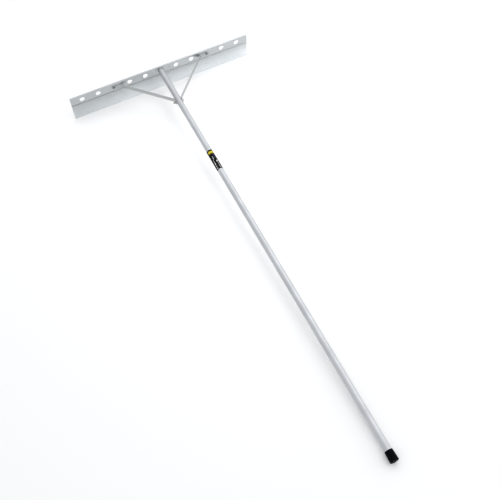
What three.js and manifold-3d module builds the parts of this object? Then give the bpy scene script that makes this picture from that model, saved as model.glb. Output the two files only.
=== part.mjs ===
// Levelling lute: a wide perforated aluminium blade on a long tubular handle, held square by two
// bent flat-bar braces. Millimetres, +Z up. The tool is set down on the ground: the blade stands on its
// lower edge and the handle slopes down to its rubber cap.
//
// The parts are built in the tool's own frame and then set down as one group:
//   x  along the blade
//   y  along the handle, towards the working face of the blade; the user stands at -y
//   z  square to both, towards the blade's upper edge
//   origin where the handle's axis meets the face of the blade's upper rail
import * as THREE from 'three';
import { mergeVertices } from 'three/addons/utils/BufferGeometryUtils.js';
import Module from 'manifold-3d';

const wasm = await Module();
wasm.setup();

// ---- driving dimensions ----
const GAP = 0.3;              // assembly gap left between neighbouring pieces

const BLADE_LEN = 915;        // blade width, end to end
const RAIL_T = 5;             // thickness of the upper rail
const RAIL_TOP = 24.4;        // top of the rolled bead, above the handle's axis
const BEAD_R = 5;             // rolled bead along the upper edge
const STEP_Z = -19;           // where the rail steps down to the thinner skirt
const STEP_R = 1.2;           // rounding of the step's lip
const SKIRT_T = 3;            // thickness of the skirt below the step
const BLADE_BOTTOM = -106;    // working edge
const EDGE_BEVEL = 1.0;       // small bevel on the user's side of the working edge
const HOLE_PITCH = 80;        // eleven stations along the rail
const HOLE_R = 12.5;          // relief holes
const RELIEF_STATIONS = [-5, -4, -2, -1, 1, 2, 4, 5];
const BRACE_STATION = 3;      // the braces bolt to stations -3 and +3

const TUBE_R = 14;            // handle tube, 28 mm outside
const TUBE_WALL = 1.5;
const TUBE_END = -2115;       // far end of the tube

const CAP_MOUTH = -2076;      // rubber cap pushed over the tube's end
const CAP_END = -2119;
const CAP_MOUTH_R = 16.0;
const CAP_END_R = 17.6;
const CAP_EDGE_R = 4;

const LABEL_FROM = -566;      // printed sleeve label
const LABEL_TO = -682;
const LABEL_T = 0.3;

const PLUG_LEN = 45;          // turned plug inside the handle's head end
const PLUG_R = TUBE_R - TUBE_WALL - GAP;

const BAR_W = 19;             // brace flat bar
const BAR_T = 3;
const BAR_BEND_R = 8;         // bend radius on the bar's centre line
const BRACE_BEND_X = 206.5;   // where the bar leaves the rail
const BRACE_BEND_Y = -210;    // where the bar meets the tube's side
const CROSS_Y = -224;         // bolt across the tube

const M6 = 3.0, M6_HOLE = 3.3, M8 = 4.0, M8_HOLE = 4.3;
const NUT_AF = 10, NUT_H = 5, HEAD_H = 4;
const WASHER_R = 6.25, WASHER_T = 1.2;
const SPRING_R = 5.6, SPRING_T = 1.3;

// ---- materials ----
const aluBlade = new THREE.MeshStandardMaterial({ color: 0xc3c7ca, roughness: 0.42, metalness: 0.9 });
const aluTube = new THREE.MeshStandardMaterial({ color: 0xcfd2d5, roughness: 0.38, metalness: 0.85 });
const aluBar = new THREE.MeshStandardMaterial({ color: 0xb4b8b9, roughness: 0.45, metalness: 0.9 });
const zinc = new THREE.MeshStandardMaterial({ color: 0xc9cbc6, roughness: 0.3, metalness: 1.0 });
const rubber = new THREE.MeshStandardMaterial({ color: 0x0d0e10, roughness: 0.75, metalness: 0.0 });
const vinyl = new THREE.MeshStandardMaterial({ color: 0x101113, roughness: 0.35, metalness: 0.0 });

// ---- solid helpers ----
function merged(geometry) {
  const g = geometry.clone();
  for (const name of Object.keys(g.attributes)) if (name !== 'position') g.deleteAttribute(name);
  return mergeVertices(g, 1e-4);
}

function signedVolume(pos, idx) {
  let v = 0;
  for (let i = 0; i < idx.length; i += 3) {
    const [a, b, c] = [idx[i] * 3, idx[i + 1] * 3, idx[i + 2] * 3];
    v += pos[a] * (pos[b + 1] * pos[c + 2] - pos[b + 2] * pos[c + 1])
       - pos[a + 1] * (pos[b] * pos[c + 2] - pos[b + 2] * pos[c])
       + pos[a + 2] * (pos[b] * pos[c + 1] - pos[b + 1] * pos[c]);
  }
  return v / 6;
}

function toSolid(geometry) {
  const g = merged(geometry);
  const pos = new Float32Array(g.attributes.position.array);
  const src = g.index.array, tri = [];
  for (let i = 0; i < src.length; i += 3) {
    const [a, b, c] = [src[i], src[i + 1], src[i + 2]];
    if (a !== b && b !== c && c !== a) tri.push(a, b, c);
  }
  if (signedVolume(pos, tri) < 0) for (let i = 0; i < tri.length; i += 3) [tri[i], tri[i + 1]] = [tri[i + 1], tri[i]];
  return new wasm.Manifold(new wasm.Mesh({ numProp: 3, vertProperties: pos, triVerts: new Uint32Array(tri) }));
}

function toGeometry(solid) {
  const m = solid.getMesh();
  const g = new THREE.BufferGeometry();
  g.setAttribute('position', new THREE.BufferAttribute(new Float32Array(m.vertProperties), 3));
  g.setIndex(new THREE.BufferAttribute(new Uint32Array(m.triVerts), 1));
  g.computeVertexNormals();
  return g;
}

// body of revolution about y; profile is a list of [radius, y]
function lathe(profile, segments = 40) {
  return toSolid(new THREE.LatheGeometry(profile.map(([r, y]) => new THREE.Vector2(r, y)), segments));
}
const ring = (r0, r1, y0, y1, seg) => lathe([[r0, y0], [r1, y0], [r1, y1], [r0, y1], [r0, y0]], seg);
const rod = (r, y0, y1, seg) => lathe([[0, y0], [r, y0], [r, y1], [0, y1]], seg);

// profile drawn in (y, z), run along x
function alongX(shape, x0, x1, curveSegments = 8) {
  const g = new THREE.ExtrudeGeometry(shape, { depth: x1 - x0, bevelEnabled: false, curveSegments });
  g.applyMatrix4(new THREE.Matrix4().set(0, 0, 1, x0, 1, 0, 0, 0, 0, 1, 0, 0, 0, 0, 0, 1));
  return toSolid(g);
}

// outline drawn in (x, y), run along z
function alongZ(shape, z0, z1, curveSegments = 8) {
  const g = new THREE.ExtrudeGeometry(shape, { depth: z1 - z0, bevelEnabled: false, curveSegments });
  g.translate(0, 0, z0);
  return toSolid(g);
}

function cylinderY(r, y0, y1, x = 0, z = 0, seg = 32) {
  const g = new THREE.CylinderGeometry(r, r, y1 - y0, seg);
  g.translate(x, (y0 + y1) / 2, z);
  return toSolid(g);
}
function cylinderX(r, x0, x1, y, z = 0, seg = 32) {
  const g = new THREE.CylinderGeometry(r, r, x1 - x0, seg);
  g.rotateZ(Math.PI / 2);
  g.translate((x0 + x1) / 2, y, z);
  return toSolid(g);
}
function cylinderZ(r, z0, z1, x, y, seg = 32) {
  const g = new THREE.CylinderGeometry(r, r, z1 - z0, seg);
  g.rotateX(Math.PI / 2);
  g.translate(x, y, (z0 + z1) / 2);
  return toSolid(g);
}
function block(x0, x1, y0, y1, z0, z1) {
  const g = new THREE.BoxGeometry(x1 - x0, y1 - y0, z1 - z0);
  g.translate((x0 + x1) / 2, (y0 + y1) / 2, (z0 + z1) / 2);
  return toSolid(g);
}
const hexRadius = (acrossFlats) => acrossFlats / Math.sqrt(3);

const tool = new THREE.Group();
function piece(name, solid, material, parent = tool) {
  const mesh = new THREE.Mesh(toGeometry(solid), material);
  mesh.name = name;
  parent.add(mesh);
  return mesh;
}

// ---- blade: one extrusion with a rolled upper bead, a thick rail and a thinner skirt ----
function bladeProfile() {
  const s = new THREE.Shape();
  const beadZ = RAIL_TOP - BEAD_R;
  const back = RAIL_T - SKIRT_T;
  s.moveTo(0, STEP_Z + STEP_R);
  s.lineTo(0, beadZ);
  // bead: flush with the user's face, standing proud of the working face
  s.absarc(BEAD_R, beadZ, BEAD_R, Math.PI, -Math.PI / 2, true);
  s.lineTo(RAIL_T, BLADE_BOTTOM);
  s.lineTo(back + EDGE_BEVEL, BLADE_BOTTOM);
  s.lineTo(back, BLADE_BOTTOM + EDGE_BEVEL);
  s.lineTo(back, STEP_Z);
  s.lineTo(STEP_R, STEP_Z);
  s.absarc(STEP_R, STEP_Z + STEP_R, STEP_R, -Math.PI / 2, -Math.PI, true);
  return s;
}
let blade = alongX(bladeProfile(), -BLADE_LEN / 2, BLADE_LEN / 2, 14);
for (const k of RELIEF_STATIONS) blade = blade.subtract(cylinderY(HOLE_R, -2, RAIL_T + 2, k * HOLE_PITCH, 0, 36));
// countersunk holes: the cone opens on the working face
function countersink(rHole, rHead, x) {
  const face = RAIL_T;
  const cone = lathe([[0, face - (rHead - rHole) - 0.6], [rHole, face - (rHead - rHole) - 0.6],
    [rHead, face - 0.6], [rHead, face + 1], [0, face + 1]], 32);
  return cylinderY(rHole, -2, face + 1, 0, 0, 32).add(cone).translate([x, 0, 0]);
}
blade = blade.subtract(countersink(M8_HOLE, 8.2, 0));
for (const s of [-1, 1]) blade = blade.subtract(countersink(M6_HOLE, 6.3, s * BRACE_STATION * HOLE_PITCH));
piece('blade', blade, aluBlade);

// ---- handle ----
let tube = ring(TUBE_R - TUBE_WALL, TUBE_R, TUBE_END, -GAP, 48);
tube = tube.subtract(cylinderX(M6_HOLE, -20, 20, CROSS_Y));
tube = tube.subtract(cylinderZ(2.7, -20, 0, 0, -26, 24));
piece('handle_tube', tube, aluTube);

// flared rubber cap
const capInner = TUBE_R + GAP;
const cap = [];
cap.push([0, TUBE_END - GAP], [capInner, TUBE_END - GAP], [capInner, CAP_MOUTH], [CAP_MOUTH_R - 1.0, CAP_MOUTH], [CAP_MOUTH_R, CAP_MOUTH - 1.0]);
for (let i = 0; i <= 6; i++) {
  const t = (i / 6) * Math.PI / 2;
  cap.push([CAP_END_R - CAP_EDGE_R + CAP_EDGE_R * Math.cos(t), CAP_END + CAP_EDGE_R - CAP_EDGE_R * Math.sin(t)]);
}
cap.push([0, CAP_END]);
piece('end_cap', lathe(cap, 48), rubber);

// printed sleeve label
piece('handle_label', ring(TUBE_R + GAP, TUBE_R + GAP + LABEL_T, LABEL_TO, LABEL_FROM, 48), vinyl);

// turned plug inside the tube's head end, tapped for the centre screw, held by a rivet from below
let plug = ring(M8_HOLE, PLUG_R, -PLUG_LEN, -GAP, 40);
plug = plug.subtract(cylinderZ(2.7, -20, -5.6, 0, -26, 24));
piece('head_plug', plug, aluBar);

let rivet = cylinderZ(2.4, -TUBE_R - GAP - 0.6, -5.9, 0, -26, 24);
rivet = rivet.add(cylinderZ(4.8, -TUBE_R - GAP - 1.7, -TUBE_R - GAP, 0, -26, 24));
piece('plug_rivet', rivet, aluBar);

// countersunk screw, head flush with the working face, shank towards the user
function countersunkScrew(r, rHead, length, socketAf, socketDepth) {
  const face = RAIL_T - 0.1;
  let s = lathe([[0, face - length], [r - 0.5, face - length], [r, face - length + 0.5],
    [r, face - 0.5 - (rHead - r)], [rHead, face - 0.5], [rHead, face], [0, face]], 32);
  const socket = new THREE.CylinderGeometry(hexRadius(socketAf), hexRadius(socketAf), socketDepth + 1, 6);
  socket.translate(0, face - socketDepth / 2 + 0.5, 0);
  return s.subtract(toSolid(socket));
}
piece('centre_screw', countersunkScrew(M8, 7.9, 38, 5, 2.6), zinc);

// ---- braces ----
// offset outline of a bent bar whose centre line is the polyline pts, with rounded bends
function bentBar(pts, t, r) {
  const line = [];
  for (let i = 0; i < pts.length; i++) {
    const p = new THREE.Vector2(...pts[i]);
    if (i === 0 || i === pts.length - 1) { line.push(p); continue; }
    const a = new THREE.Vector2(...pts[i - 1]).sub(p).normalize();
    const b = new THREE.Vector2(...pts[i + 1]).sub(p).normalize();
    const half = Math.acos(THREE.MathUtils.clamp(a.dot(b), -1, 1)) / 2;
    const reach = r / Math.tan(half);
    const centre = p.clone().add(a.clone().add(b).normalize().multiplyScalar(r / Math.sin(half)));
    const p0 = p.clone().addScaledVector(a, reach), p1 = p.clone().addScaledVector(b, reach);
    const a0 = Math.atan2(p0.y - centre.y, p0.x - centre.x);
    let da = Math.atan2(p1.y - centre.y, p1.x - centre.x) - a0;
    while (da > Math.PI) da -= 2 * Math.PI;
    while (da < -Math.PI) da += 2 * Math.PI;
    for (let k = 0; k <= 6; k++) {
      const w = a0 + (da * k) / 6;
      line.push(new THREE.Vector2(centre.x + r * Math.cos(w), centre.y + r * Math.sin(w)));
    }
  }
  const left = [], right = [];
  for (let i = 0; i < line.length; i++) {
    const d = line[Math.min(i + 1, line.length - 1)].clone().sub(line[Math.max(i - 1, 0)]).normalize();
    const n = new THREE.Vector2(-d.y, d.x).multiplyScalar(t / 2);
    left.push(line[i].clone().add(n));
    right.push(line[i].clone().sub(n));
  }
  return new THREE.Shape([...left, ...right.reverse()]);
}
const STATION_X = BRACE_STATION * HOLE_PITCH;
const END_R = BAR_W / 2;
const RAIL_END_X = STATION_X + END_R + 2.5;
const TUBE_END_Y = CROSS_Y - END_R - 1;
function brace(side) {
  const yFlat = -GAP - BAR_T / 2, xFlat = TUBE_R + GAP + BAR_T / 2;
  let bar = alongZ(bentBar([[RAIL_END_X, yFlat], [BRACE_BEND_X, yFlat], [xFlat, BRACE_BEND_Y], [xFlat, TUBE_END_Y]], BAR_T, BAR_BEND_R), -BAR_W / 2, BAR_W / 2);
  // rounded ends
  const railRound = block(RAIL_END_X - END_R, RAIL_END_X + 2, -6, 3, -BAR_W, BAR_W)
    .subtract(cylinderY(END_R, -8, 5, RAIL_END_X - END_R, 0, 40));
  const tubeRound = block(TUBE_R - 3, TUBE_R + 6, TUBE_END_Y - 2, TUBE_END_Y + END_R, -BAR_W, BAR_W)
    .subtract(cylinderX(END_R, TUBE_R - 6, TUBE_R + 9, TUBE_END_Y + END_R, 0, 40));
  bar = bar.subtract(railRound).subtract(tubeRound);
  bar = bar.subtract(cylinderY(M6_HOLE, -8, 4, STATION_X)).subtract(cylinderX(M6_HOLE, TUBE_R - 4, TUBE_R + 8, CROSS_Y));
  return side < 0 ? bar.mirror([1, 0, 0]) : bar;
}
piece('brace_left', brace(-1), aluBar);
piece('brace_right', brace(1), aluBar);

// ---- washers, spring washers and nuts, made about y and moved into place ----
const washer = (y0) => ring(M6_HOLE, WASHER_R, y0 - WASHER_T, y0, 32);
function springWasher(y0) {
  let w = ring(M6_HOLE, SPRING_R, y0 - SPRING_T, y0, 32);
  const slit = new THREE.BoxGeometry(0.8, SPRING_T * 3, SPRING_R * 2);
  slit.rotateZ(0.45);
  slit.translate(0, y0 - SPRING_T / 2, SPRING_R);
  return w.subtract(toSolid(slit));
}
// hexagon with its corners turned off: on both faces of a nut, on the outer face of a head
function hexagon(y0, y1, bothFaces) {
  const g = new THREE.CylinderGeometry(hexRadius(NUT_AF), hexRadius(NUT_AF), y1 - y0, 6);
  g.translate(0, (y0 + y1) / 2, 0);
  const rFace = NUT_AF / 2 - 0.1, rOut = hexRadius(NUT_AF) + 0.2, drop = (rOut - rFace) * 0.55;
  const turned = [[0, y0], [rFace, y0], [rOut, y0 + drop]];
  if (bothFaces) turned.push([rOut, y1 - drop], [rFace, y1], [0, y1]); else turned.push([rOut, y1], [0, y1]);
  return toSolid(g).intersect(lathe(turned, 48));
}
const nut = (y0) => hexagon(y0 - NUT_H, y0, true).subtract(cylinderY(M6_HOLE, y0 - NUT_H - 1, y0 + 1, 0, 0, 32));
// each stack starts against the face it presses on and runs towards -y
const SCREW_LEN = 18;
for (const [name, s] of [['left', -1], ['right', 1]]) {
  const at = [s * STATION_X, 0, 0];
  let y = -GAP - BAR_T - GAP;
  piece(`brace_screw_${name}`, countersunkScrew(M6, 6.0, SCREW_LEN, 4, 2.0).translate(at), zinc);
  piece(`brace_washer_${name}`, washer(y).translate(at), zinc);
  y -= WASHER_T + GAP;
  piece(`brace_spring_washer_${name}`, springWasher(y).translate(at), zinc);
  y -= SPRING_T + GAP;
  piece(`brace_nut_${name}`, nut(y).rotate([0, s * 11, 0]).translate(at), zinc);
}

// ---- bolt across the tube: head on the right, nut on the left ----
// the stack is made about y from 0 towards -y, then turned so that -y points to -x or +x
const BOLT_FACE = TUBE_R + GAP + BAR_T + GAP;
const toLeft = (s) => s.rotate([0, 0, -90]).translate([-BOLT_FACE, CROSS_Y, 0]);
const toRight = (s) => s.rotate([0, 0, 90]).translate([BOLT_FACE, CROSS_Y, 0]);
piece('cross_nut_washer', toLeft(washer(0)), zinc);
piece('cross_spring_washer', toLeft(springWasher(-WASHER_T - GAP)), zinc);
piece('cross_nut', toLeft(nut(-WASHER_T - SPRING_T - 2 * GAP).rotate([0, 17, 0])), zinc);
piece('cross_head_washer', toRight(washer(0)), zinc);
const BOLT_HEAD_X = BOLT_FACE + WASHER_T + GAP;
const BOLT_TIP_X = -31;
const BOLT_RUN = BOLT_HEAD_X + 1 - BOLT_TIP_X;
const shank = lathe([[0, 0], [M6, 0], [M6, BOLT_RUN - 0.6], [M6 - 0.6, BOLT_RUN], [0, BOLT_RUN]], 32)
  .rotate([0, 0, 90]).translate([BOLT_HEAD_X + 1, CROSS_Y, 0]);
const head = hexagon(-WASHER_T - GAP - HEAD_H, -WASHER_T - GAP, false).rotate([0, 12, 0]);
piece('cross_bolt', shank.add(toRight(head)), zinc);

// ---- set the tool down: blade edge and cap both on z = 0 ----
// lowest point of the blade is its user-side bottom corner, lowest point of the cap is its rounded rim
const cornerY = RAIL_T - SKIRT_T + EDGE_BEVEL, cornerZ = BLADE_BOTTOM;
const rimY = CAP_END + CAP_EDGE_R, rimZ = -(CAP_END_R - CAP_EDGE_R);
const height = (y, z, a) => z * Math.cos(a) + y * Math.sin(a);
let lo = 0, hi = 0.2;
for (let i = 0; i < 60; i++) {
  const a = (lo + hi) / 2;
  if (height(rimY, rimZ, a) - CAP_EDGE_R > height(cornerY, cornerZ, a)) lo = a; else hi = a;
}
const slope = (lo + hi) / 2;
tool.rotation.x = slope;

const lute = new THREE.Group();
lute.add(tool);
lute.updateMatrixWorld(true);
const box = new THREE.Box3().setFromObject(lute, true);
const mid = box.getCenter(new THREE.Vector3());
tool.position.set(0, -mid.y, -box.min.z);
lute.updateMatrixWorld(true);

export default lute;
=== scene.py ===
import math

import bmesh
import bpy
import numpy as np
from mathutils import Matrix, Vector


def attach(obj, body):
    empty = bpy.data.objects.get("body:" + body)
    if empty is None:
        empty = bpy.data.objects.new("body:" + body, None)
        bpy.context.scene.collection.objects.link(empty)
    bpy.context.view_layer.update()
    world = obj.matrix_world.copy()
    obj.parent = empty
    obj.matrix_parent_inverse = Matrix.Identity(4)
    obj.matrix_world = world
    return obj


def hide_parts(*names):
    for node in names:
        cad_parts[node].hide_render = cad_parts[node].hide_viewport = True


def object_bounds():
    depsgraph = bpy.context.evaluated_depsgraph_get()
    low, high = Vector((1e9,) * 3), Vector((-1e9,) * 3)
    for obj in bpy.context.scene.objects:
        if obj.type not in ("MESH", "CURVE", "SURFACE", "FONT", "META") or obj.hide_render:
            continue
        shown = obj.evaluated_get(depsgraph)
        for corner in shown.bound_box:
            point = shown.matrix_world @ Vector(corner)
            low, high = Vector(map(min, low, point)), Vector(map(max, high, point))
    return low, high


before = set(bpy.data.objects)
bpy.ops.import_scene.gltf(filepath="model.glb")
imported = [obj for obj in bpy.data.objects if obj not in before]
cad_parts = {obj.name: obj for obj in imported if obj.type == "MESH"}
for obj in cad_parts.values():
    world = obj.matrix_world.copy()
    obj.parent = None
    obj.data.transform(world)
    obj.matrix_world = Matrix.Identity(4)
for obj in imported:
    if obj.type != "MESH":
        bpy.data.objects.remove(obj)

cad_lo, cad_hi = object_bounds()
TAU = 2 * math.pi


# ------------------------------------------------------------------ the tool's own frame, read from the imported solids
# x along the blade, y along the handle towards the blade, z square to both; origin on the handle's axis at the face of the blade's rail. Millimetres.
def coords(node):
    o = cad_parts[node]
    a = np.zeros(len(o.data.vertices) * 3)
    o.data.vertices.foreach_get("co", a)
    return a.reshape(-1, 3)


def tube_ends():
    v = np.unique(np.round(coords("handle_tube"), 6), axis=0)
    c = v.mean(0)
    d = np.linalg.eigh(np.cov((v - c).T))[1][:, -1]
    if d[1] < 0:
        d = -d
    for _ in range(3):
        t = v @ d
        head = v[t > t.max() - 0.002].mean(0)
        far = v[t < t.min() + 0.002].mean(0)
        d = (head - far) / np.linalg.norm(head - far)
    return head, far, d


HEAD, FAR, AXIS = tube_ends()
EY = Vector(AXIS)
EX = Vector((1, 0, 0))
EX = (EX - EY * EX.dot(EY)).normalized()
EZ = EX.cross(EY)
ASSEMBLY_GAP = 0.3  # the clearance that the solids keep between neighbours
ORIGIN = Vector(HEAD) + EY * ASSEMBLY_GAP * 0.001
TOOL = Matrix((
    (EX.x, EY.x, EZ.x, ORIGIN.x),
    (EX.y, EY.y, EZ.y, ORIGIN.y),
    (EX.z, EY.z, EZ.z, ORIGIN.z),
    (0, 0, 0, 1),
))
TOOL_INV = TOOL.inverted()


def span(node):
    """lowest and highest corner of a node in the tool's frame, mm"""
    v = coords(node)
    m = np.array(TOOL_INV)
    t = (v @ m[:3, :3].T + m[:3, 3]) * 1000
    return t.min(0), t.max(0)


# ------------------------------------------------------------------ mesh helpers (all in tool-frame mm)
def loft(rows, close_u=True, cap_start=True, cap_end=True, close_v=False):
    """Skins a list of equal-length point rows. close_u joins each row into a ring; close_v joins the last row to the first."""
    bm = bmesh.new()
    vs = [[bm.verts.new(p) for p in r] for r in rows]
    n, m = len(rows), len(rows[0])
    for i in range(n if close_v else n - 1):
        a, b = vs[i], vs[(i + 1) % n]
        for j in range(m if close_u else m - 1):
            k = (j + 1) % m
            q = [a[j], a[k], b[k], b[j]]
            bm.faces.new(q)
    if not close_v:
        if cap_start:
            bm.faces.new(list(reversed(vs[0])))
        if cap_end:
            bm.faces.new(vs[-1])
    bmesh.ops.remove_doubles(bm, verts=bm.verts, dist=1e-5)
    bmesh.ops.recalc_face_normals(bm, faces=bm.faces)
    return bm


def revolve(profile, seg=64, closed=False):
    """Body of revolution about y. profile is a list of (r, y), or a function of the angle giving one; closed profiles make rings."""
    rows = []
    for i in range(seg):
        a = TAU * i / seg
        p = profile(a) if callable(profile) else profile
        rows.append([(r * math.sin(a), y, r * math.cos(a)) for r, y in p])
    bm = bmesh.new()
    vs = [[bm.verts.new(p) for p in r] for r in rows]
    m = len(rows[0])
    for i in range(seg):
        a, b = vs[i], vs[(i + 1) % seg]
        for j in range(m if closed else m - 1):
            k = (j + 1) % m
            bm.faces.new([a[j], a[k], b[k], b[j]])
    bmesh.ops.remove_doubles(bm, verts=bm.verts, dist=1e-5)
    bmesh.ops.dissolve_degenerate(bm, dist=1e-6, edges=bm.edges)
    bmesh.ops.recalc_face_normals(bm, faces=bm.faces)
    return bm


def arc(cx, cy, r, a0, a1, n):
    return [(cx + r * math.cos(math.radians(a0 + (a1 - a0) * i / n)), cy + r * math.sin(math.radians(a0 + (a1 - a0) * i / n))) for i in range(n + 1)]


def to_mesh(bm, name="tmp"):
    me = bpy.data.meshes.new(name)
    bm.to_mesh(me)
    bm.free()
    return me


def temp(me):
    o = bpy.data.objects.new("tmp", me)
    bpy.context.scene.collection.objects.link(o)
    return o


def baked(o):
    """the object's mesh with its modifiers applied; the object itself is removed"""
    dg = bpy.context.evaluated_depsgraph_get()
    dg.update()
    me = bpy.data.meshes.new_from_object(o.evaluated_get(dg), depsgraph=dg)
    bpy.data.objects.remove(o)
    return me


def cut(me, cutters, operation="DIFFERENCE"):
    """me minus (or common with) each cutter bmesh"""
    o = temp(me)
    tools = []
    for c in cutters:
        t = temp(to_mesh(c))
        t.hide_render = True
        tools.append(t)
        m = o.modifiers.new("cut", "BOOLEAN")
        m.operation = operation
        m.object = t
        m.solver = "EXACT"
    out = baked(o)
    for t in tools:
        bpy.data.objects.remove(t)
    return out


def moved(bm, matrix):
    bmesh.ops.transform(bm, matrix=matrix, verts=bm.verts)
    return bm


def spin(axis, degrees):
    return Matrix.Rotation(math.radians(degrees), 4, axis)


def shift(x, y, z):
    return Matrix.Translation((x, y, z))


def piece(name, me, material, nodes, sharp=32, tc=None):
    """Makes the finished object: stores the pattern coordinates, moves the mesh to the row frame, and fixes it to the body."""
    co = np.zeros(len(me.vertices) * 3)
    me.vertices.foreach_get("co", co)
    co = co.reshape(-1, 3)
    pattern = co if tc is None else tc(co)
    at = me.attributes.new("tc", "FLOAT_VECTOR", "POINT")
    at.data.foreach_set("vector", np.asarray(pattern, np.float32).ravel())
    me.transform(TOOL @ Matrix.Scale(0.001, 4))
    me.name = name
    me.shade_smooth()
    me.set_sharp_from_angle(angle=math.radians(sharp))
    me.materials.clear()
    me.materials.append(material)
    o = bpy.data.objects.new(name, me)
    bpy.context.scene.collection.objects.link(o)
    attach(o, "root")
    if nodes:
        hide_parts(*nodes)
    return o


# ------------------------------------------------------------------ material helpers
class Nodes:
    def __init__(self, name):
        self.mat = bpy.data.materials.new(name)
        self.mat.use_nodes = True
        self.t = self.mat.node_tree
        self.t.nodes.clear()
        self.out = self.t.nodes.new("ShaderNodeOutputMaterial")
        self.bsdf = self.t.nodes.new("ShaderNodeBsdfPrincipled")
        self.t.links.new(self.bsdf.outputs[0], self.out.inputs[0])

    def new(self, kind, **props):
        n = self.t.nodes.new(kind)
        for k, v in props.items():
            setattr(n, k, v)
        return n

    def put(self, socket, value):
        if isinstance(value, bpy.types.NodeSocket):
            self.t.links.new(value, socket)
        elif value is not None:
            socket.default_value = value

    def pattern(self):
        return self.new("ShaderNodeAttribute", attribute_name="tc").outputs["Vector"]

    def scaled(self, vector, scale, rotate=(0, 0, 0)):
        m = self.new("ShaderNodeMapping")
        self.put(m.inputs["Vector"], vector)
        m.inputs["Scale"].default_value = scale
        m.inputs["Rotation"].default_value = rotate
        return m.outputs[0]

    def noise(self, vector, scale=1.0, detail=3.0, rough=0.5, distortion=0.0):
        n = self.new("ShaderNodeTexNoise")
        self.put(n.inputs["Vector"], vector)
        n.inputs["Scale"].default_value = scale
        n.inputs["Detail"].default_value = detail
        n.inputs["Roughness"].default_value = rough
        n.inputs["Distortion"].default_value = distortion
        return n.outputs["Fac"]

    def math(self, op, a, b=None, c=None, clamp=False):
        n = self.new("ShaderNodeMath", operation=op, use_clamp=clamp)
        self.put(n.inputs[0], a)
        self.put(n.inputs[1], b)
        if c is not None:
            self.put(n.inputs[2], c)
        return n.outputs[0]

    def ramp(self, value, low, high, a=0.0, b=1.0):
        """maps low..high to a..b, clamped"""
        n = self.new("ShaderNodeMapRange")
        n.clamp = True
        self.put(n.inputs["Value"], value)
        n.inputs["From Min"].default_value = low
        n.inputs["From Max"].default_value = high
        n.inputs["To Min"].default_value = a
        n.inputs["To Max"].default_value = b
        return n.outputs[0]

    def mix(self, fac, a, b, blend="MIX"):
        n = self.new("ShaderNodeMix", data_type="RGBA", blend_type=blend)
        self.put(n.inputs["Factor"], fac)
        for key, v in (("A", a), ("B", b)):
            s = [i for i in n.inputs if i.name == key and i.type == "RGBA"][0]
            self.put(s, (*v, 1.0) if isinstance(v, tuple) and len(v) == 3 else v)
        return [o for o in n.outputs if o.type == "RGBA"][0]

    def split(self, vector):
        n = self.new("ShaderNodeSeparateXYZ")
        self.put(n.inputs[0], vector)
        return n.outputs

    def bump(self, height, strength, distance, normal=None):
        n = self.new("ShaderNodeBump")
        n.inputs["Strength"].default_value = strength
        n.inputs["Distance"].default_value = distance
        self.put(n.inputs["Height"], height)
        if normal is not None:
            self.put(n.inputs["Normal"], normal)
        return n.outputs[0]

    def set(self, **values):
        for k, v in values.items():
            self.put(self.bsdf.inputs[k.replace("_", " ")], (*v, 1.0) if isinstance(v, tuple) and len(v) == 3 else v)


def tone(c, k):
    return tuple(x * k for x in c)


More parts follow.
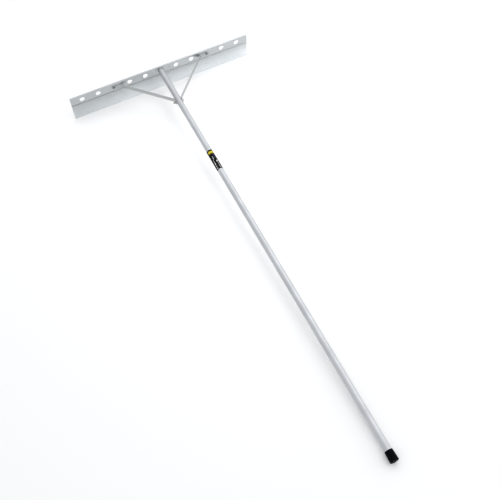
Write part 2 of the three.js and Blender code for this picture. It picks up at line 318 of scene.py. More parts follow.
def aluminium(name, base, rough, stretch, seed=0.0, grain=1.0, cloud=1.0, wear_and_painted_sheen=None, painted_groove_shade=None):
    """Bare aluminium: drawing lines along one direction, faint handling marks, a few hairline scratches, and a slightly
    clouded oxide. The tuple (axis, from, to, gain, (x0, x1, least)) after cloud paints a highlight: the colour is made
    brighter from one place to another along an axis, standing in for the bright floor's reflection, and least at x0.
    The last tuple (low, high, depth, keep, (x0, x1)) paints shade: a band of height, in front of a depth, is darkened
    to stand in for shadow, and fades out from x0 to x1.
    """
    n = Nodes(name)
    tc = n.pattern()
    place = n.split(tc)
    off = n.new("ShaderNodeVectorMath", operation="ADD")
    n.put(off.inputs[0], tc)
    off.inputs[1].default_value = (seed * 137.0, seed * 71.0, seed * 53.0)
    tc = off.outputs[0]
    along, across = 0.006, 0.55
    coarse = n.noise(n.scaled(tc, tuple(along if s else across for s in stretch)), 1.0, 4.0, 0.62)
    fine = n.noise(n.scaled(tc, tuple(0.035 if s else 4.2 for s in stretch)), 1.0, 3.0, 0.6)
    clouds = n.noise(tc, 0.011, 5.0, 0.58, 0.35)
    patches = n.noise(tc, 0.045, 3.0, 0.5, 0.2)
    specks = n.noise(tc, 1.6, 2.0, 0.6)
    # hairline scratches in two directions, kept to thin slices of stretched noise
    s1 = n.noise(n.scaled(tc, (0.02, 0.9, 0.9), (0.2, 0.35, 0.25)), 1.0, 1.0, 0.5)
    s2 = n.noise(n.scaled(tc, (0.8, 0.03, 0.7), (0.3, 0.1, -0.4)), 1.0, 1.0, 0.5)
    line1 = n.ramp(n.math("ABSOLUTE", n.math("SUBTRACT", s1, 0.62)), 0.0, 0.006, 1.0, 0.0)
    line2 = n.ramp(n.math("ABSOLUTE", n.math("SUBTRACT", s2, 0.66)), 0.0, 0.006, 1.0, 0.0)
    scratch = n.math("MULTIPLY", n.math("MAXIMUM", line1, line2), n.ramp(patches, 0.5, 0.65))
    colour = n.mix(n.ramp(coarse, 0.3, 0.7), tone(base, 1 - 0.05 * grain), tone(base, 1 + 0.04 * grain))
    colour = n.mix(n.ramp(clouds, 0.35, 0.68, 0.0, 0.55 * cloud), colour, tone(base, 0.86))
    colour = n.mix(n.ramp(specks, 0.64, 0.74, 0.0, 0.35), colour, tone(base, 0.8))
    colour = n.mix(n.math("MULTIPLY", scratch, 0.5), colour, tone(base, 1.12))
    # painted highlight: the colour is made brighter along an axis, standing in for the bright floor's reflection, less
    # towards x0
    if wear_and_painted_sheen:
        axis, start, end, gain, (x0, x1, least) = wear_and_painted_sheen
        painted_sheen = n.math("ADD", n.ramp(place[axis], start, end), n.ramp(clouds, 0.35, 0.65, -0.12, 0.12), clamp=True)
        painted_sheen = n.math("MULTIPLY", painted_sheen, n.ramp(place[0], x0, x1, least, 1.0))
        colour = n.mix(painted_sheen, colour, tone((1, 1, 1), gain), "MULTIPLY")
    # painted shade: a band of height in front of a depth is darkened to stand in for the shadow in the groove, fading
    # out along x
    if painted_groove_shade:
        low, high, depth, keep, (x0, x1) = painted_groove_shade
        groove_shade_band = n.math("MULTIPLY", n.ramp(place[2], low - 0.5, low + 0.5), n.ramp(place[2], high + 0.5, high - 0.5))
        groove_shade_band = n.math("MULTIPLY", groove_shade_band, n.ramp(place[1], depth + 0.2, depth))
        groove_shade_band = n.math("MULTIPLY", groove_shade_band, n.ramp(place[0], x0, x1, 1.0, 0.0))
        colour = n.mix(groove_shade_band, colour, tone((1, 1, 1), keep), "MULTIPLY")
    r = n.math("ADD", n.ramp(clouds, 0.3, 0.7, rough - 0.05, rough + 0.07), n.ramp(fine, 0.25, 0.75, -0.04, 0.04))
    r = n.math("ADD", r, n.math("MULTIPLY", scratch, 0.08))
    r = n.math("ADD", r, n.ramp(patches, 0.55, 0.7, 0.0, 0.05))
    h = n.math("ADD", n.math("MULTIPLY", coarse, 0.5 * grain), n.math("MULTIPLY", fine, 0.6 * grain))
    h = n.math("SUBTRACT", h, n.math("MULTIPLY", scratch, 0.35))
    n.set(Base_Color=colour, Roughness=r, Metallic=1.0, Normal=n.bump(h, 0.35, 0.00006))
    return n.mat


def zinc(name, base=(0.52, 0.53, 0.53), rough=0.2):
    """Bright zinc plate: fine crystalline mottling, a faint blue-straw cast, darker in pits."""
    n = Nodes(name)
    tc = n.pattern()
    mottle = n.noise(tc, 0.9, 4.0, 0.6)
    cells = n.new("ShaderNodeTexVoronoi")
    n.put(cells.inputs["Vector"], tc)
    cells.inputs["Scale"].default_value = 1.4
    cast = n.noise(tc, 0.25, 2.0, 0.5)
    colour = n.mix(n.ramp(mottle, 0.3, 0.7), tone(base, 0.86), tone(base, 1.08))
    colour = n.mix(n.ramp(cast, 0.4, 0.65, 0.0, 0.35), colour, (base[0] * 0.88, base[1] * 0.94, base[2] * 1.06))
    colour = n.mix(n.ramp(cast, 0.6, 0.35, 0.0, 0.3), colour, (base[0] * 1.08, base[1], base[2] * 0.85))
    r = n.math("ADD", n.ramp(mottle, 0.3, 0.7, rough - 0.04, rough + 0.1), n.ramp(cells.outputs["Distance"], 0.0, 0.8, 0.05, -0.02))
    h = n.math("ADD", n.math("MULTIPLY", mottle, 0.6), n.math("MULTIPLY", cells.outputs["Distance"], 0.3))
    n.set(Base_Color=colour, Roughness=r, Metallic=1.0, Normal=n.bump(h, 0.3, 0.00005))
    return n.mat


def rubber(name):
    """Moulded black rubber: slight bloom, scuffs towards the end, fine orange-peel."""
    n = Nodes(name)
    tc = n.pattern()
    xyz = n.split(tc)
    peel = n.noise(tc, 1.3, 3.0, 0.55)
    bloom = n.noise(tc, 0.09, 4.0, 0.6, 0.5)
    scuff = n.noise(n.scaled(tc, (0.5, 1.6, 0.5)), 0.6, 4.0, 0.7)
    wear_and_painted_sheen = n.math("MULTIPLY", n.ramp(xyz[1], 16.0, 0.0), n.ramp(scuff, 0.52, 0.72))
    colour = n.mix(n.ramp(bloom, 0.4, 0.7, 0.0, 0.7), (0.0006, 0.0010, 0.0018), (0.0022, 0.0032, 0.0050))
    colour = n.mix(wear_and_painted_sheen, colour, (0.014, 0.014, 0.0155))
    r = n.math("ADD", n.ramp(bloom, 0.3, 0.7, 0.46, 0.62), n.math("MULTIPLY", wear_and_painted_sheen, 0.15))
    h = n.math("ADD", n.math("MULTIPLY", peel, 0.6), n.math("MULTIPLY", scuff, n.math("MULTIPLY", wear_and_painted_sheen, 0.8)))
    n.set(Base_Color=colour, Roughness=r, Normal=n.bump(h, 0.4, 0.00012))
    n.bsdf.inputs["Metallic"].default_value = 0.0
    n.bsdf.inputs["Specular IOR Level"].default_value = 0.03
    return n.mat


def vinyl_label(name, length):
    """Printed vinyl: pattern x is the distance along the handle from the label's head end, y the distance round the tube from the middle of the print. Plain bars and dots only."""
    n = Nodes(name)
    xyz = n.split(n.pattern())
    a, s = xyz[0], xyz[1]
    soft = 0.18

    def box(a0, a1, s0, s1):
        ca, cs, ha, hs = (a0 + a1) / 2, (s0 + s1) / 2, (a1 - a0) / 2, (s1 - s0) / 2
        da = n.ramp(n.math("ABSOLUTE", n.math("SUBTRACT", a, ca)), ha - soft, ha + soft, 1.0, 0.0)
        ds = n.ramp(n.math("ABSOLUTE", n.math("SUBTRACT", s, cs)), hs - soft, hs + soft, 1.0, 0.0)
        return n.math("MULTIPLY", da, ds)

    def disc(a0, s0, r):
        da = n.math("POWER", n.math("SUBTRACT", a, a0), 2.0)
        ds = n.math("POWER", n.math("SUBTRACT", s, s0), 2.0)
        return n.ramp(n.math("SQRT", n.math("ADD", da, ds)), r - soft, r + soft, 1.0, 0.0)

    ink = n.noise(n.pattern(), 0.8, 3.0, 0.6)
    black = n.mix(n.ramp(ink, 0.3, 0.7), (0.0012, 0.0012, 0.0015), (0.0026, 0.0026, 0.003))
    colour = black
    colour = n.mix(box(29, 51, 5.5, 21), colour, (0.010, 0.016, 0.040))
    yellow = n.mix(n.ramp(ink, 0.3, 0.7), (0.46, 0.37, 0.025), (0.60, 0.50, 0.05))
    colour = n.mix(box(8.5, 20.0, -10.5, 27), colour, yellow)
    colour = n.mix(box(22.2, 23.4, -10.5, 27), colour, (0.30, 0.25, 0.03))
    grey, white = (0.46, 0.46, 0.47), (0.90, 0.90, 0.89)
    for shape, tint in (
        (box(40, 44.5, -2.4, 0.6), grey), (box(46, 58, -2.6, 0.2), grey), (box(60.5, 66, -7.4, -4.6), grey),
        (box(68, 78, -7.0, -4.4), grey), (box(80, 88, -7.2, -3.8), white),
        (disc(97.5, -6.0, 2.3), white), (disc(108.8, -6.2, 2.4), white),
        (box(66.5, 75.5, 6.4, 12.2), (0.66, 0.66, 0.66)), (box(80.5, 83.0, 6.8, 12.4), (0.36, 0.36, 0.36)), (box(86.5, 89.0, 6.8, 12.4), (0.40, 0.40, 0.40)),
        (box(92.5, 94.5, 6.2, 11.6), (0.36, 0.36, 0.36)), (box(97.5, 101.5, 6.2, 11.6), (0.52, 0.52, 0.52)), (box(106, 109.5, 6.4, 12.6), (0.44, 0.44, 0.44)),
    ):
        colour = n.mix(shape, colour, tint)
    rough = n.ramp(ink, 0.3, 0.7, 0.30, 0.42)
    h = n.math("ADD", n.math("MULTIPLY", ink, 0.3), n.math("MULTIPLY", n.noise(n.pattern(), 0.12, 2.0, 0.5), 1.2))
    n.set(Base_Color=colour, Roughness=rough, Normal=n.bump(h, 0.25, 0.0001))
    n.bsdf.inputs["Specular IOR Level"].default_value = 0.05
    return n.mat


# the blade's colour also carries painted shade, darker along the groove under the rail's lip and most at the left
# the blade's colour carries a painted highlight, brighter towards the bottom edge and the right, standing in for the
# floor's reflection
ALU_BLADE = aluminium("blade_extrusion", (0.477, 0.497, 0.511), 0.29, (1, 0, 0), seed=0.3, wear_and_painted_sheen=(2, -26.0, -100.0, 1.78, (-460.0, -180.0, 0.5)), painted_groove_shade=(-24.5, -17.0, 4.2, 0.84, (-150.0, 250.0)))
ALU_TUBE = aluminium("drawn_tube", (0.550, 0.565, 0.587), 0.53, (0, 1, 0), seed=1.1, grain=0.8)
ALU_BAR = aluminium("mill_bar", (0.420, 0.437, 0.437), 0.38, (1, 0, 0), seed=2.3, grain=1.2)
ZINC = zinc("zinc_plate")
# painted shade: the spring washers are coloured near black to stand in for the shadow round the fasteners
SHADE_DARK_SPRING = zinc("spring_steel_painted_shade", (0.085, 0.085, 0.09), 0.3)
RUBBER = rubber("moulded_rubber")


# ------------------------------------------------------------------ blade
b_lo, b_hi = span("blade")
HALF = b_hi[0]
RAIL_T, SKIRT_T, BEAD_R, STEP_Z = 5.0, 3.0, 5.0, -19.0
TOP, BOTTOM = b_hi[2], b_lo[2]
PITCH, HOLE_R = 80.0, 12.5


def rounded(points):
    """polyline with each corner (y, z, radius) turned by an arc"""
    out = []
    m = len(points)
    for i in range(m):
        p = Vector(points[i][:2])
        r = points[i][2]
        if r <= 0:
            out.append((p.x, p.y))
            continue
        a = (Vector(points[i - 1][:2]) - p).normalized()
        b = (Vector(points[(i + 1) % m][:2]) - p).normalized()
        half = math.acos(max(-1, min(1, a.dot(b)))) / 2
        reach = r / math.tan(half)
        c = p + (a + b).normalized() * (r / math.sin(half))
        p0, p1 = p + a * reach, p + b * reach
        a0 = math.atan2(p0.y - c.y, p0.x - c.x)
        d = math.atan2(p1.y - c.y, p1.x - c.x) - a0
        d = (d + math.pi) % TAU - math.pi
        k = max(3, int(abs(d) / 0.3))
        out += [(c.x + r * math.cos(a0 + d * j / k), c.y + r * math.sin(a0 + d * j / k)) for j in range(k + 1)]
    return out


def blade_outline():
    bead_z = TOP - BEAD_R
    back = RAIL_T - SKIRT_T
    bead = arc(BEAD_R, bead_z, BEAD_R, 180, -74, 34)  # (y, z), over the top to the working face
    y1, z1 = bead[-1]
    # user side, upwards: bottom edge, a skirt hollowed by a little over a millimetre, the relief groove, and the rail's lip
    hollow = []
    top_z, low_z = STEP_Z - 6.3, BOTTOM + 1.6
    for i in range(1, 16):
        t = i / 16
        hollow.append((back + 1.25 * 4 * t * (1 - t), low_z + (top_z - low_z) * t, 0))
    rest = rounded([
        (RAIL_T + 0.0, z1 - 0.9, 0.55),
        (RAIL_T, BOTTOM, 0.5),
        (back + 0.35, BOTTOM, 0.2),
        (back, BOTTOM + 0.35, 0.2),
        *hollow,
        (back, STEP_Z - 6.3, 0.35),
        (back + 1.8, STEP_Z - 6.3, 0.4),
        (back + 1.8, STEP_Z - 0.3, 0.5),
        (back + 0.6, STEP_Z, 0.3),
        (0.0, STEP_Z, 1.0),
    ])
    pts = bead + rest
    clean = []
    for p in pts:
        if not clean or math.dist(p, clean[-1]) > 1e-3:
            clean.append(p)
    if math.dist(clean[0], clean[-1]) < 1e-3:
        clean.pop()
    return clean


def inset(poly, d):
    """moves a clockwise closed outline inwards by d"""
    n = len(poly)
    area = sum(poly[i][0] * poly[(i + 1) % n][1] - poly[(i + 1) % n][0] * poly[i][1] for i in range(n))
    s = 1 if area > 0 else -1
    out = []
    for i in range(n):
        p, a, b = Vector(poly[i]), Vector(poly[i - 1]), Vector(poly[(i + 1) % n])
        t = ((p - a).normalized() + (b - p).normalized())
        t = t.normalized() if t.length > 1e-9 else (b - p).normalized()
        out.append((p.x - t.y * d * s, p.y + t.x * d * s))
    return out


def build_blade():
    outline = blade_outline()
    small = inset(outline, 0.3)
    # a few rings along the length, so that the long faces stay well shaped
    stations = [-HALF + 0.3] + [k * PITCH + PITCH / 2 for k in range(-6, 6)] + [HALF - 0.3]
    stations = sorted(s for s in stations if -HALF + 0.2 < s < HALF - 0.2)
    rows = [[(-HALF, y, z) for y, z in small]]
    rows += [[(x, y, z) for y, z in outline] for x in stations]
    rows += [[(HALF, y, z) for y, z in small]]
    me = to_mesh(loft(rows))
    cutters = []
    for k in (-5, -4, -2, -1, 1, 2, 4, 5):
        prof = [(0, -1.0), (HOLE_R + 1.5, -1.0), (HOLE_R, 0.5), (HOLE_R, RAIL_T - 0.5), (HOLE_R + 1.5, RAIL_T + 1.0), (0, RAIL_T + 1.0)]
        cutters.append(moved(revolve(prof, 64), shift(k * PITCH, 0, 0)))
    for k, r, head in ((0, 4.3, 8.2), (-3, 3.3, 6.3), (3, 3.3, 6.3)):
        face = RAIL_T - 0.6
        prof = [(0, -1.0), (r, -1.0), (r, face - (head - r)), (head, face), (head, RAIL_T + 1.0), (0, RAIL_T + 1.0)]
        cutters.append(moved(revolve(prof, 48), shift(k * PITCH, 0, 0)))
    me = cut(me, cutters)
    return piece("lute_blade", me, ALU_BLADE, ["blade"], sharp=24)


build_blade()

# ------------------------------------------------------------------ handle tube
t_lo, t_hi = span("handle_tube")
TUBE_R, WALL = 14.0, 1.5
CROSS_Y = (span("cross_bolt")[0][1] + span("cross_bolt")[1][1]) / 2


def build_tube():
    y0, y1 = t_lo[1], t_hi[1] + ASSEMBLY_GAP - 0.05
    ri, ro, c = TUBE_R - WALL, TUBE_R, 0.35
    ys = np.linspace(y0 + c, y1 - c, 25)
    prof = [(ri + c * 0.5, y0), (ro - c, y0)] + [(ro, y) for y in ys] + [(ro - c, y1), (ri + c * 0.5, y1)] + [(ri, y) for y in ys[::-1]]
    me = to_mesh(revolve(prof, 64, closed=True))
    cross = moved(revolve([(0, -20), (3.3, -20), (3.3, 20), (0, 20)], 40), shift(0, CROSS_Y, 0) @ spin("Z", 90))
    rv = span("plug_rivet")
    ry = (rv[0][1] + rv[1][1]) / 2
    rivet = moved(revolve([(0, -20), (2.7, -20), (2.7, -9), (0, -9)], 32), shift(0, ry, 0) @ spin("X", 90))
    me = cut(me, [cross, rivet])
    return piece("lute_handle_tube", me, ALU_TUBE, ["handle_tube"], sharp=30)


build_tube()

# ------------------------------------------------------------------ rubber cap
c_lo, c_hi = span("end_cap")


def build_cap():
    y_end, y_mouth = c_lo[1] + 0.08, c_hi[1]
    r_end, r_mouth, er = c_hi[0] - 0.08, 16.0, 2.6
    bore = TUBE_R + 0.06
    prof = [(0.0, t_lo[1] - 0.1), (bore - 0.4, t_lo[1] - 0.1), (bore, t_lo[1] + 0.3), (bore, y_mouth - 0.7)]
    prof += [(bore + 0.5 + 0.5 * math.cos(math.radians(a)), y_mouth - 0.5 + 0.5 * math.sin(math.radians(a))) for a in (180, 135, 90)]
    prof += [(r_mouth - 0.9 + 0.9 * math.cos(math.radians(a)), y_mouth - 0.9 + 0.9 * math.sin(math.radians(a))) for a in (90, 60, 30, 0)]
    # a low rolled lip behind the mouth, then a gentle flare
    body0, body1 = y_mouth - 0.9, y_end + er
    for i in range(1, 16):
        t = i / 15
        y = body0 + (body1 - body0) * t
        r = r_mouth + (r_end - r_mouth) * t
        lip = -0.22 * math.exp(-((y - (y_mouth - 4.2)) / 0.7) ** 2)
        prof.append((r + lip, y))
    prof += [(r_end - er + er * math.cos(math.radians(a)), y_end + er - er * math.sin(math.radians(a))) for a in (15, 30, 45, 60, 75, 90)]
    prof += [(r_end - er - 1.6, y_end), (r_end - er - 2.3, y_end + 0.45), (4.2, y_end + 0.45), (3.5, y_end + 0.1), (0.0, y_end + 0.1)]
    me = to_mesh(revolve(prof, 96))
    # mould parting line: a hair-thin raised rib on both sides
    for v in me.vertices:
        r = math.hypot(v.co.x, v.co.z)
        if 15.4 < r and r * 1.006 < r_end and abs(v.co.z) < 0.02 * r:
            v.co.x *= 1.006
    return piece("lute_end_cap", me, RUBBER, ["end_cap"], sharp=40, tc=lambda c: c - np.array([0, y_end, 0]))


build_cap()

# ------------------------------------------------------------------ printed label
l_lo, l_hi = span("handle_label")
PRINT_ANGLE = math.radians(-15.0)  # the middle of the print, from straight up, towards -x


def build_label():
    y0, y1 = l_hi[1], l_lo[1]  # head end first
    r_in, r_out = TUBE_R + 0.05, TUBE_R + 0.22
    seam = math.radians(3.0)
    seg, rings = 96, 24
    rows = []
    for i in range(rings + 1):
        y = y0 + (y1 - y0) * i / rings
        outer, inner = [], []
        for j in range(seg + 1):
            a = PRINT_ANGLE - math.pi + seam / 2 + (TAU - seam) * j / seg
            outer.append((r_out * math.sin(a), y, r_out * math.cos(a)))
            inner.append((r_in * math.sin(a), y, r_in * math.cos(a)))
        rows.append(outer + inner[::-1])
    me = to_mesh(loft(rows))

    def tc(c):
        a = np.arctan2(c[:, 0], c[:, 2]) - PRINT_ANGLE
        a = (a + math.pi) % TAU - math.pi
        return np.stack([y0 - c[:, 1], a * r_out, np.hypot(c[:, 0], c[:, 2])], 1)

    return piece("lute_handle_label", me, vinyl_label("printed_vinyl", y0 - y1), ["handle_label"], sharp=40, tc=tc)


build_label()

# ------------------------------------------------------------------ braces: cut flat, drilled, then bent
BAR_W, BAR_T, BEND_R = 19.0, 3.0, 8.0
br_lo, br_hi = span("brace_right")
STATION_X = 3 * PITCH


def brace_path():
    """centre line in (x, y) from the rail end to the handle end, as a list of its corner points"""
    y_flat = -0.05 - BAR_T / 2
    x_flat = TUBE_R + 0.05 + BAR_T / 2
    return [Vector((br_hi[0], y_flat)), Vector((206.5, y_flat)), Vector((x_flat, -210.0)), Vector((x_flat, br_lo[1]))]


def build_brace(side):
    pts = brace_path()
    # flat development
    runs, bends = [], []
    for i in (1, 2):
        a = (pts[i - 1] - pts[i]).normalized()
        b = (pts[i + 1] - pts[i]).normalized()
        half = math.acos(a.dot(b)) / 2
        turn = math.pi - 2 * half
        reach = BEND_R / math.tan(half)
        d0 = -a
        sign = 1 if d0.x * b.y - d0.y * b.x > 0 else -1
        bends.append((turn, reach, sign))
    l0 = (pts[1] - pts[0]).length - bends[0][1]
    l1 = (pts[2] - pts[1]).length - bends[0][1] - bends[1][1]
    l2 = (pts[3] - pts[2]).length - bends[1][1]
    a0, a1 = bends[0][0] * BEND_R, bends[1][0] * BEND_R
    total = l0 + a0 + l1 + a1 + l2
    hole0 = br_hi[0] - STATION_X
    hole1 = total - (CROSS_Y - br_lo[1])
    # outline curve with two holes, thickness with rounded arrises
    cu = bpy.data.curves.new("tmp", "CURVE")
    cu.dimensions = "2D"
    cu.fill_mode = "BOTH"

    def ring(points):
        sp = cu.splines.new("POLY")
        sp.points.add(len(points) - 1)
        for p, q in zip(sp.points, points):
            p.co = (q[0], q[1], 0, 1)
        sp.use_cyclic_u = True

    r = BAR_W / 2
    edge = 0.45
    out = [(r - r * math.sin(math.radians(t)), r * math.cos(math.radians(t))) for t in np.linspace(0, 180, 25)]
    out += [(total - r + r * math.sin(math.radians(t)), -r * math.cos(math.radians(t))) for t in np.linspace(0, 180, 25)]
    ring(out)
    for h in (hole0, hole1):
        ring([(h + 3.3 * math.cos(t), 3.3 * math.sin(t)) for t in np.linspace(0, TAU, 33)[:-1]])
    cu.extrude = BAR_T / 2 - edge
    cu.bevel_depth = edge
    cu.bevel_resolution = 2
    cu.offset = -edge
    o = bpy.data.objects.new("tmp", cu)
    bpy.context.scene.collection.objects.link(o)
    me = baked(o)
    bm = bmesh.new()
    bm.from_mesh(me)
    bmesh.ops.remove_doubles(bm, verts=bm.verts, dist=1e-3)
    bmesh.ops.dissolve_limit(bm, angle_limit=math.radians(0.5), verts=bm.verts, edges=bm.edges)
    slices = list(np.linspace(l0, l0 + a0, 11)) + list(np.linspace(l0 + a0, l0 + a0 + l1, 10))[1:-1] + list(np.linspace(l0 + a0 + l1, l0 + a0 + l1 + a1, 11)) + [hole0 + 8.0, hole1 - 8.0]
    for s in slices:
        bmesh.ops.bisect_plane(bm, geom=bm.verts[:] + bm.edges[:] + bm.faces[:], plane_co=(s, 0, 0), plane_no=(1, 0, 0), dist=1e-4)
    bmesh.ops.recalc_face_normals(bm, faces=bm.faces)
    flat = [v.co.copy() for v in bm.verts]
    e0 = (pts[1] - pts[0]).normalized()

    def bend(p):
        s, z, n = p.x, p.y, p.z
        pos, d = pts[0].copy(), e0.copy()
        left = s
        for length, (turn, _, sign) in ((l0, bends[0]), (l1, bends[1])):
            if left <= length:
                pos = pos + d * left
                nn = Vector((-d.y, d.x))
                return (pos.x + nn.x * n, pos.y + nn.y * n, z)
            pos = pos + d * length
            left -= length
            al = turn * BEND_R
            t = min(left, al) / BEND_R
            nn = Vector((-d.y, d.x)) * sign
            c = pos + nn * BEND_R
            rot = Matrix.Rotation(sign * t, 2)
            pos = c + rot @ (pos - c)
            d = rot @ d
            if left <= al:
                nn = Vector((-d.y, d.x))
                return (pos.x + nn.x * n, pos.y + nn.y * n, z)
            left -= al
        pos = pos + d * left
        nn = Vector((-d.y, d.x))
        return (pos.x + nn.x * n, pos.y + nn.y * n, z)

    for v in bm.verts:
        q = bend(v.co)
        v.co = (q[0] * side, q[1], q[2])
    if side > 0:  # the development turns over when it is laid along the path, and back when it is mirrored
        bmesh.ops.reverse_faces(bm, faces=bm.faces)
    me = to_mesh(bm)
    pattern = np.array([[p.x, p.y + (400 if side < 0 else 0), p.z] for p in flat])
    word = "left" if side < 0 else "right"
    return piece(f"lute_brace_{word}", me, ALU_BAR, [f"brace_{word}"], sharp=40, tc=lambda c: pattern)


build_brace(-1)
build_brace(1)

# ------------------------------------------------------------------ fasteners, made about y with y = 0 on the seat and the stack running to -y
HEX_AF = 10.0


def hex_radius(a, af, ease=0.12):
    t = (a % (TAU / 6)) - TAU / 12
    r = af / 2 / math.cos(t)
    corner = af / math.sqrt(3)
    return r - ease * max(0.0, (r - (corner - 0.35)) / 0.35) ** 2


def nut_mesh(height, turn, threaded=True):
    """hexagon nut with both faces chamfered and a countersunk, threaded bore"""
    rf = HEX_AF / 2 - 0.15
    pitch, r_minor, r_major = 1.0, 3.06, 3.3
    steps = 40

    def profile(a):
        ro = hex_radius(a, HEX_AF)
        drop = max(0.0, (ro - rf)) * math.tan(math.radians(30))
        pts = [(3.55, 0.0), (rf, 0.0), (ro - 0.05, -drop), (ro, -drop - 0.08), (ro, -height + drop + 0.08), (ro - 0.05, -height + drop), (rf, -height), (3.55, -height)]
        for i in range(steps + 1):
            y = -height + 0.35 + (height - 0.7) * i / steps
            f = (y / pitch + a / TAU) % 1.0
            tri = abs(2 * f - 1)
            pts.append((r_minor + (r_major - r_minor) * tri, y))
        return pts

    return moved(revolve(profile, 72, closed=True), spin("Y", turn))


def washer_mesh(r0, r1, t, e=0.18):
    prof = [(r0, -e), (r0 + e, 0), (r1 - e, 0), (r1, -e), (r1, -t + e), (r1 - e, -t), (r0 + e, -t), (r0, -t + e)]
    return revolve(prof, 64, closed=True)


def spring_washer_mesh(r0, r1, t, start):
    """split ring, its two ends stepped past each other"""
    rows = []
    seg = 60
    gap = 0.16
    lift = 0.14
    for i in range(seg + 1):
        u = i / seg
        a = math.radians(start) + gap / 2 + (TAU - gap) * u
        y = -t / 2 + (u - 0.5) * lift
        h = t / 2 - lift / 2
        e = 0.12
        sec = [(r0, y - h + e), (r0 + e, y - h), (r1 - e, y - h), (r1, y - h + e), (r1, y + h - e), (r1 - e, y + h), (r0 + e, y + h), (r0, y + h - e)]
        rows.append([(r * math.sin(a), yy, r * math.cos(a)) for r, yy in sec])
    return loft(rows)


def thread_profile(y0, y1, r, pitch=1.0, depth=0.42, tip_up=False):
    """outer radii for a threaded length from y0 to y1 (y1 < y0), as a function of the angle"""
    steps = max(8, int(abs(y1 - y0) / pitch * 10))

    def at(a):
        out = []
        for i in range(steps + 1):
            y = y0 + (y1 - y0) * i / steps
            f = (y / pitch + a / TAU) % 1.0
            tri = abs(2 * f - 1)
            rr = r - depth * (1 - tri)
            near = min(1.0, abs(y - y1) / 0.8)
            rr = min(rr, r - 0.75 * (1 - near))
            out.append((rr, y))
        return out

    return at


def countersunk_mesh(r, head, y_face, y_tip, af, depth, pitch):
    body = thread_profile(y_face - 0.6 - (head - r), y_tip, r - 0.04, pitch, 0.13 * r)

    def profile(a):
        return [(0.0, y_face), (head - 0.35, y_face), (head, y_face - 0.35), (head, y_face - 0.6), (r, y_face - 0.6 - (head - r) + 0.05)] + body(a) + [(0.0, y_tip)]

    me = to_mesh(revolve(profile, 64))
    socket = revolve(lambda a: [(0, y_face - depth), (hex_radius(a, af, 0.0) , y_face - depth), (hex_radius(a, af, 0.0), y_face - 0.25), (hex_radius(a, af, 0.0) + 0.6, y_face + 0.4), (0, y_face + 0.4)], 72)
    return cut(me, [socket])


def about(node):
    lo, hi = span(node)
    return (lo + hi) / 2, lo, hi


def set_on_blade(word, side):
    x = side * STATION_X
    for base, build in (
        (f"brace_washer_{word}", lambda lo, hi: washer_mesh(3.3, (hi[0] - lo[0]) / 2, hi[1] - lo[1])),
        (f"brace_spring_washer_{word}", lambda lo, hi: spring_washer_mesh(3.3, 5.6, hi[1] - lo[1], 28 * side + 10)),
        (f"brace_nut_{word}", lambda lo, hi: nut_mesh(hi[1] - lo[1], 11 * side)),
    ):
        lo, hi = span(base)
        me = to_mesh(moved(build(lo, hi), shift(x, hi[1], 0)))
        piece("lute_" + base, me, SHADE_DARK_SPRING if "spring" in base else ZINC, [base], sharp=28)
    base = f"brace_screw_{word}"
    lo, hi = span(base)
    me = countersunk_mesh(3.0, 6.0, hi[1], lo[1], 4.0, 2.0, 1.0)
    me.transform(shift(x, 0, 0))
    piece("lute_" + base, me, ZINC, [base], sharp=28)


set_on_blade("left", -1)
set_on_blade("right", 1)

lo, hi = span("centre_screw")
me = countersunk_mesh(4.0, 7.9, hi[1], lo[1], 5.0, 2.6, 1.25)
piece("lute_centre_screw", me, ZINC, ["centre_screw"], sharp=28)


# stack across the tube: nut side towards -x, head side towards +x
def across(node, bm_of, towards):
    lo, hi = span(node)
    t = hi[0] - lo[0]
    seat = hi[0] if towards < 0 else lo[0]
    bm = bm_of(t)
    turn = -90 if towards < 0 else 90
    me = to_mesh(moved(bm, shift(seat, CROSS_Y, 0) @ spin("Z", turn)))
    piece("lute_" + node, me, SHADE_DARK_SPRING if "spring" in node else ZINC, [node], sharp=28)


across("cross_nut_washer", lambda t: washer_mesh(3.3, 6.25, t), -1)
across("cross_spring_washer", lambda t: spring_washer_mesh(3.3, 5.6, t, 65), -1)
across("cross_nut", lambda t: nut_mesh(t, 17), -1)
across("cross_head_washer", lambda t: washer_mesh(3.3, 6.25, t), 1)


def build_cross_bolt():
    lo, hi = span("cross_bolt")
    head_h = 4.0
    seat = hi[0] - head_h
    rf = HEX_AF / 2 - 0.15
    thread = thread_profile(-(seat - 2.0 + 14.0), -(seat - lo[0]), 2.96)

    def profile(a):
        ro = hex_radius(a, HEX_AF)
        drop = max(0.0, (ro - rf)) * math.tan(math.radians(30))
        pts = [(0.0, head_h - 0.25), (rf - 1.1, head_h - 0.25), (rf - 0.8, head_h), (rf, head_h), (ro, head_h - drop), (ro, 0.35), (rf + 0.1, 0.35), (rf + 0.1, 0.0), (3.2, 0.0), (2.96, -0.3)]
        pts += thread(a)
        pts.append((0.0, -(seat - lo[0])))
        return pts

    bm = revolve(profile, 72)
    # about y with the head at +y: turn so that +y points to +x
    me = to_mesh(moved(bm, shift(seat, CROSS_Y, 0) @ spin("Z", -90)))
    piece("lute_cross_bolt", me, ZINC, ["cross_bolt"], sharp=28)


build_cross_bolt()


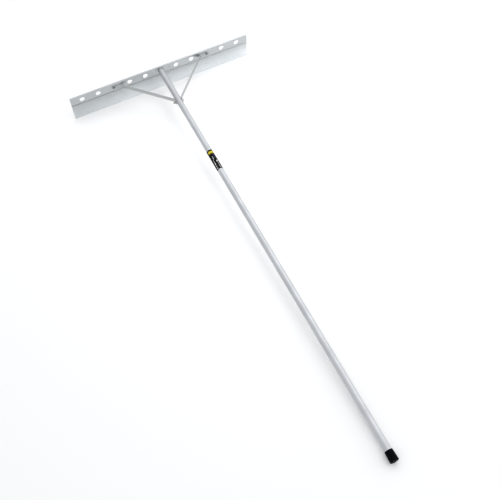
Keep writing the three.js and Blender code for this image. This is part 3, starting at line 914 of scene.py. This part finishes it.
# ------------------------------------------------------------------ pieces inside the handle's head end
def build_plug():
    lo, hi = span("head_plug")
    r = hi[0]
    y0, y1 = lo[1], hi[1]
    prof = [(4.05, y0 + 0.6), (4.6, y0), (r - 0.8, y0), (r, y0 + 0.8)]
    for y in np.linspace(y0 + 4, y1 - 4, 4):
        prof += [(r, y - 0.5), (r - 0.35, y - 0.25), (r - 0.35, y + 0.25), (r, y + 0.5)]
    prof += [(r, y1 - 0.8), (r - 0.8, y1), (4.6, y1), (4.05, y1 - 0.6)]
    me = to_mesh(revolve(prof, 64, closed=True))
    rv = span("plug_rivet")
    ry = (rv[0][1] + rv[1][1]) / 2
    hole = moved(revolve([(0, -20), (2.7, -20), (2.7, -5.6), (0, -5.6)], 32), Matrix.Identity(4))
    # the cutter runs along y: stand it up along z
    hole = moved(hole, shift(0, ry, 0) @ spin("X", 90))
    me = cut(me, [hole])
    piece("lute_head_plug", me, ALU_BAR, ["head_plug"], sharp=30)
    z_low = rv[0][2]
    seat = -TUBE_R - 0.1
    body = revolve([(0, -5.9), (2.2, -5.9), (2.4, -6.2), (2.4, seat), (4.5, seat), (4.8, seat - 0.2), (4.4, seat - 0.9), (3.3, z_low + 0.25), (1.9, z_low), (1.1, z_low + 0.1), (0.9, z_low + 0.6), (0, z_low + 0.6)], 40)
    me = to_mesh(moved(body, shift(0, ry, 0) @ spin("X", 90)))
    piece("lute_plug_rivet", me, ALU_BAR, ["plug_rivet"], sharp=30)


build_plug()

# ------------------------------------------------------------------ stage
S = bpy.context.scene


def floor_material():
    n = Nodes("studio_floor")
    g = n.new("ShaderNodeNewGeometry")
    v = n.noise(g.outputs["Position"], 0.8, 2.0, 0.5)
    n.set(Base_Color=n.mix(v, (0.90, 0.90, 0.90), (0.91, 0.91, 0.91)), Roughness=0.9)
    return n.mat


bm = bmesh.new()
bmesh.ops.create_grid(bm, x_segments=4, y_segments=4, size=40.0)
floor = bpy.data.objects.new("studio_floor", to_mesh(bm, "studio_floor"))
floor.data.materials.append(floor_material())
S.collection.objects.link(floor)
floor.location = (0, 0, min(cad_lo.z, 0.0) - 0.0005)

# camera: placed in the tool's frame, so it keeps its view of the tool
CAM_ROWS = (
    (0.8980995981943742, 0.4382947664907014, 0.036260300467109374),
    (-0.38853121248934797, 0.752087894152298, 0.532360119083989),
    (0.20605972106324108, -0.4922006675497538, 0.8457410325973997),
)  # image right, image down and view direction; x as the tool's, y and z reversed
CAM_POS = (-720.8593763324727, 2674.7433717727936, -2685.685575439272)
FOCAL = 778.6027489782418 / 500.0 * 36.0


def tool_dir(v):
    return (TOOL.to_3x3() @ Vector((v[0], -v[1], -v[2]))).normalized()


right, down, ahead = (tool_dir(v) for v in CAM_ROWS)
cam_at = TOOL @ (Vector((CAM_POS[0], -CAM_POS[1], -CAM_POS[2])) * 0.001)
cd = bpy.data.cameras.new("camera")
cam = bpy.data.objects.new("camera", cd)
S.collection.objects.link(cam)
up = -down
cam.matrix_world = Matrix((
    (right.x, up.x, -ahead.x, cam_at.x),
    (right.y, up.y, -ahead.y, cam_at.y),
    (right.z, up.z, -ahead.z, cam_at.z),
    (0, 0, 0, 1),
))
cd.sensor_width = 36.0
cd.lens = FOCAL
cd.clip_start, cd.clip_end = 0.05, 200.0
S.camera = cam

# soft studio light: an even white surround, an overhead panel, a key and a large panel on the right, and a gridded softbox over the floor before the blade's right half
world = bpy.data.worlds.new("studio")
S.world = world
world.use_nodes = True
world.node_tree.nodes["Background"].inputs[0].default_value = (0.98, 0.99, 1.0, 1.0)
world.node_tree.nodes["Background"].inputs[1].default_value = 0.87


def area(name, at, target, size, power, colour=(1, 1, 1), spread=180.0):
    d = bpy.data.lights.new(name, "AREA")
    d.shape = "RECTANGLE"
    d.size, d.size_y = size
    d.energy = power
    d.color = colour
    d.spread = math.radians(spread)
    o = bpy.data.objects.new(name, d)
    S.collection.objects.link(o)
    o.location = at
    o.rotation_euler = (Vector(target) - Vector(at)).to_track_quat("-Z", "Y").to_euler()
    return o


area("overhead", (1.6, 1.1, 4.5), (1.6, 1.1, 0.0), (6.0, 8.0), 68.0)
area("key_right", (3.4, 0.0, 3.2), (0.0, 0.6, 0.05), (4.0, 4.0), 24.0)
area("panel_right", (5.0, 0.6, 2.0), (0.0, 0.6, 0.6), (7.0, 4.0), 38.0)
area("floor_right", (1.22, 0.80, 1.5), (0.72, 0.80, 0.0), (1.8, 1.8), 4.6, spread=88.0)

S.view_settings.view_transform = "Standard"
S.view_settings.look = "None"
S.view_settings.exposure = 0.0
S.view_settings.gamma = 1.0
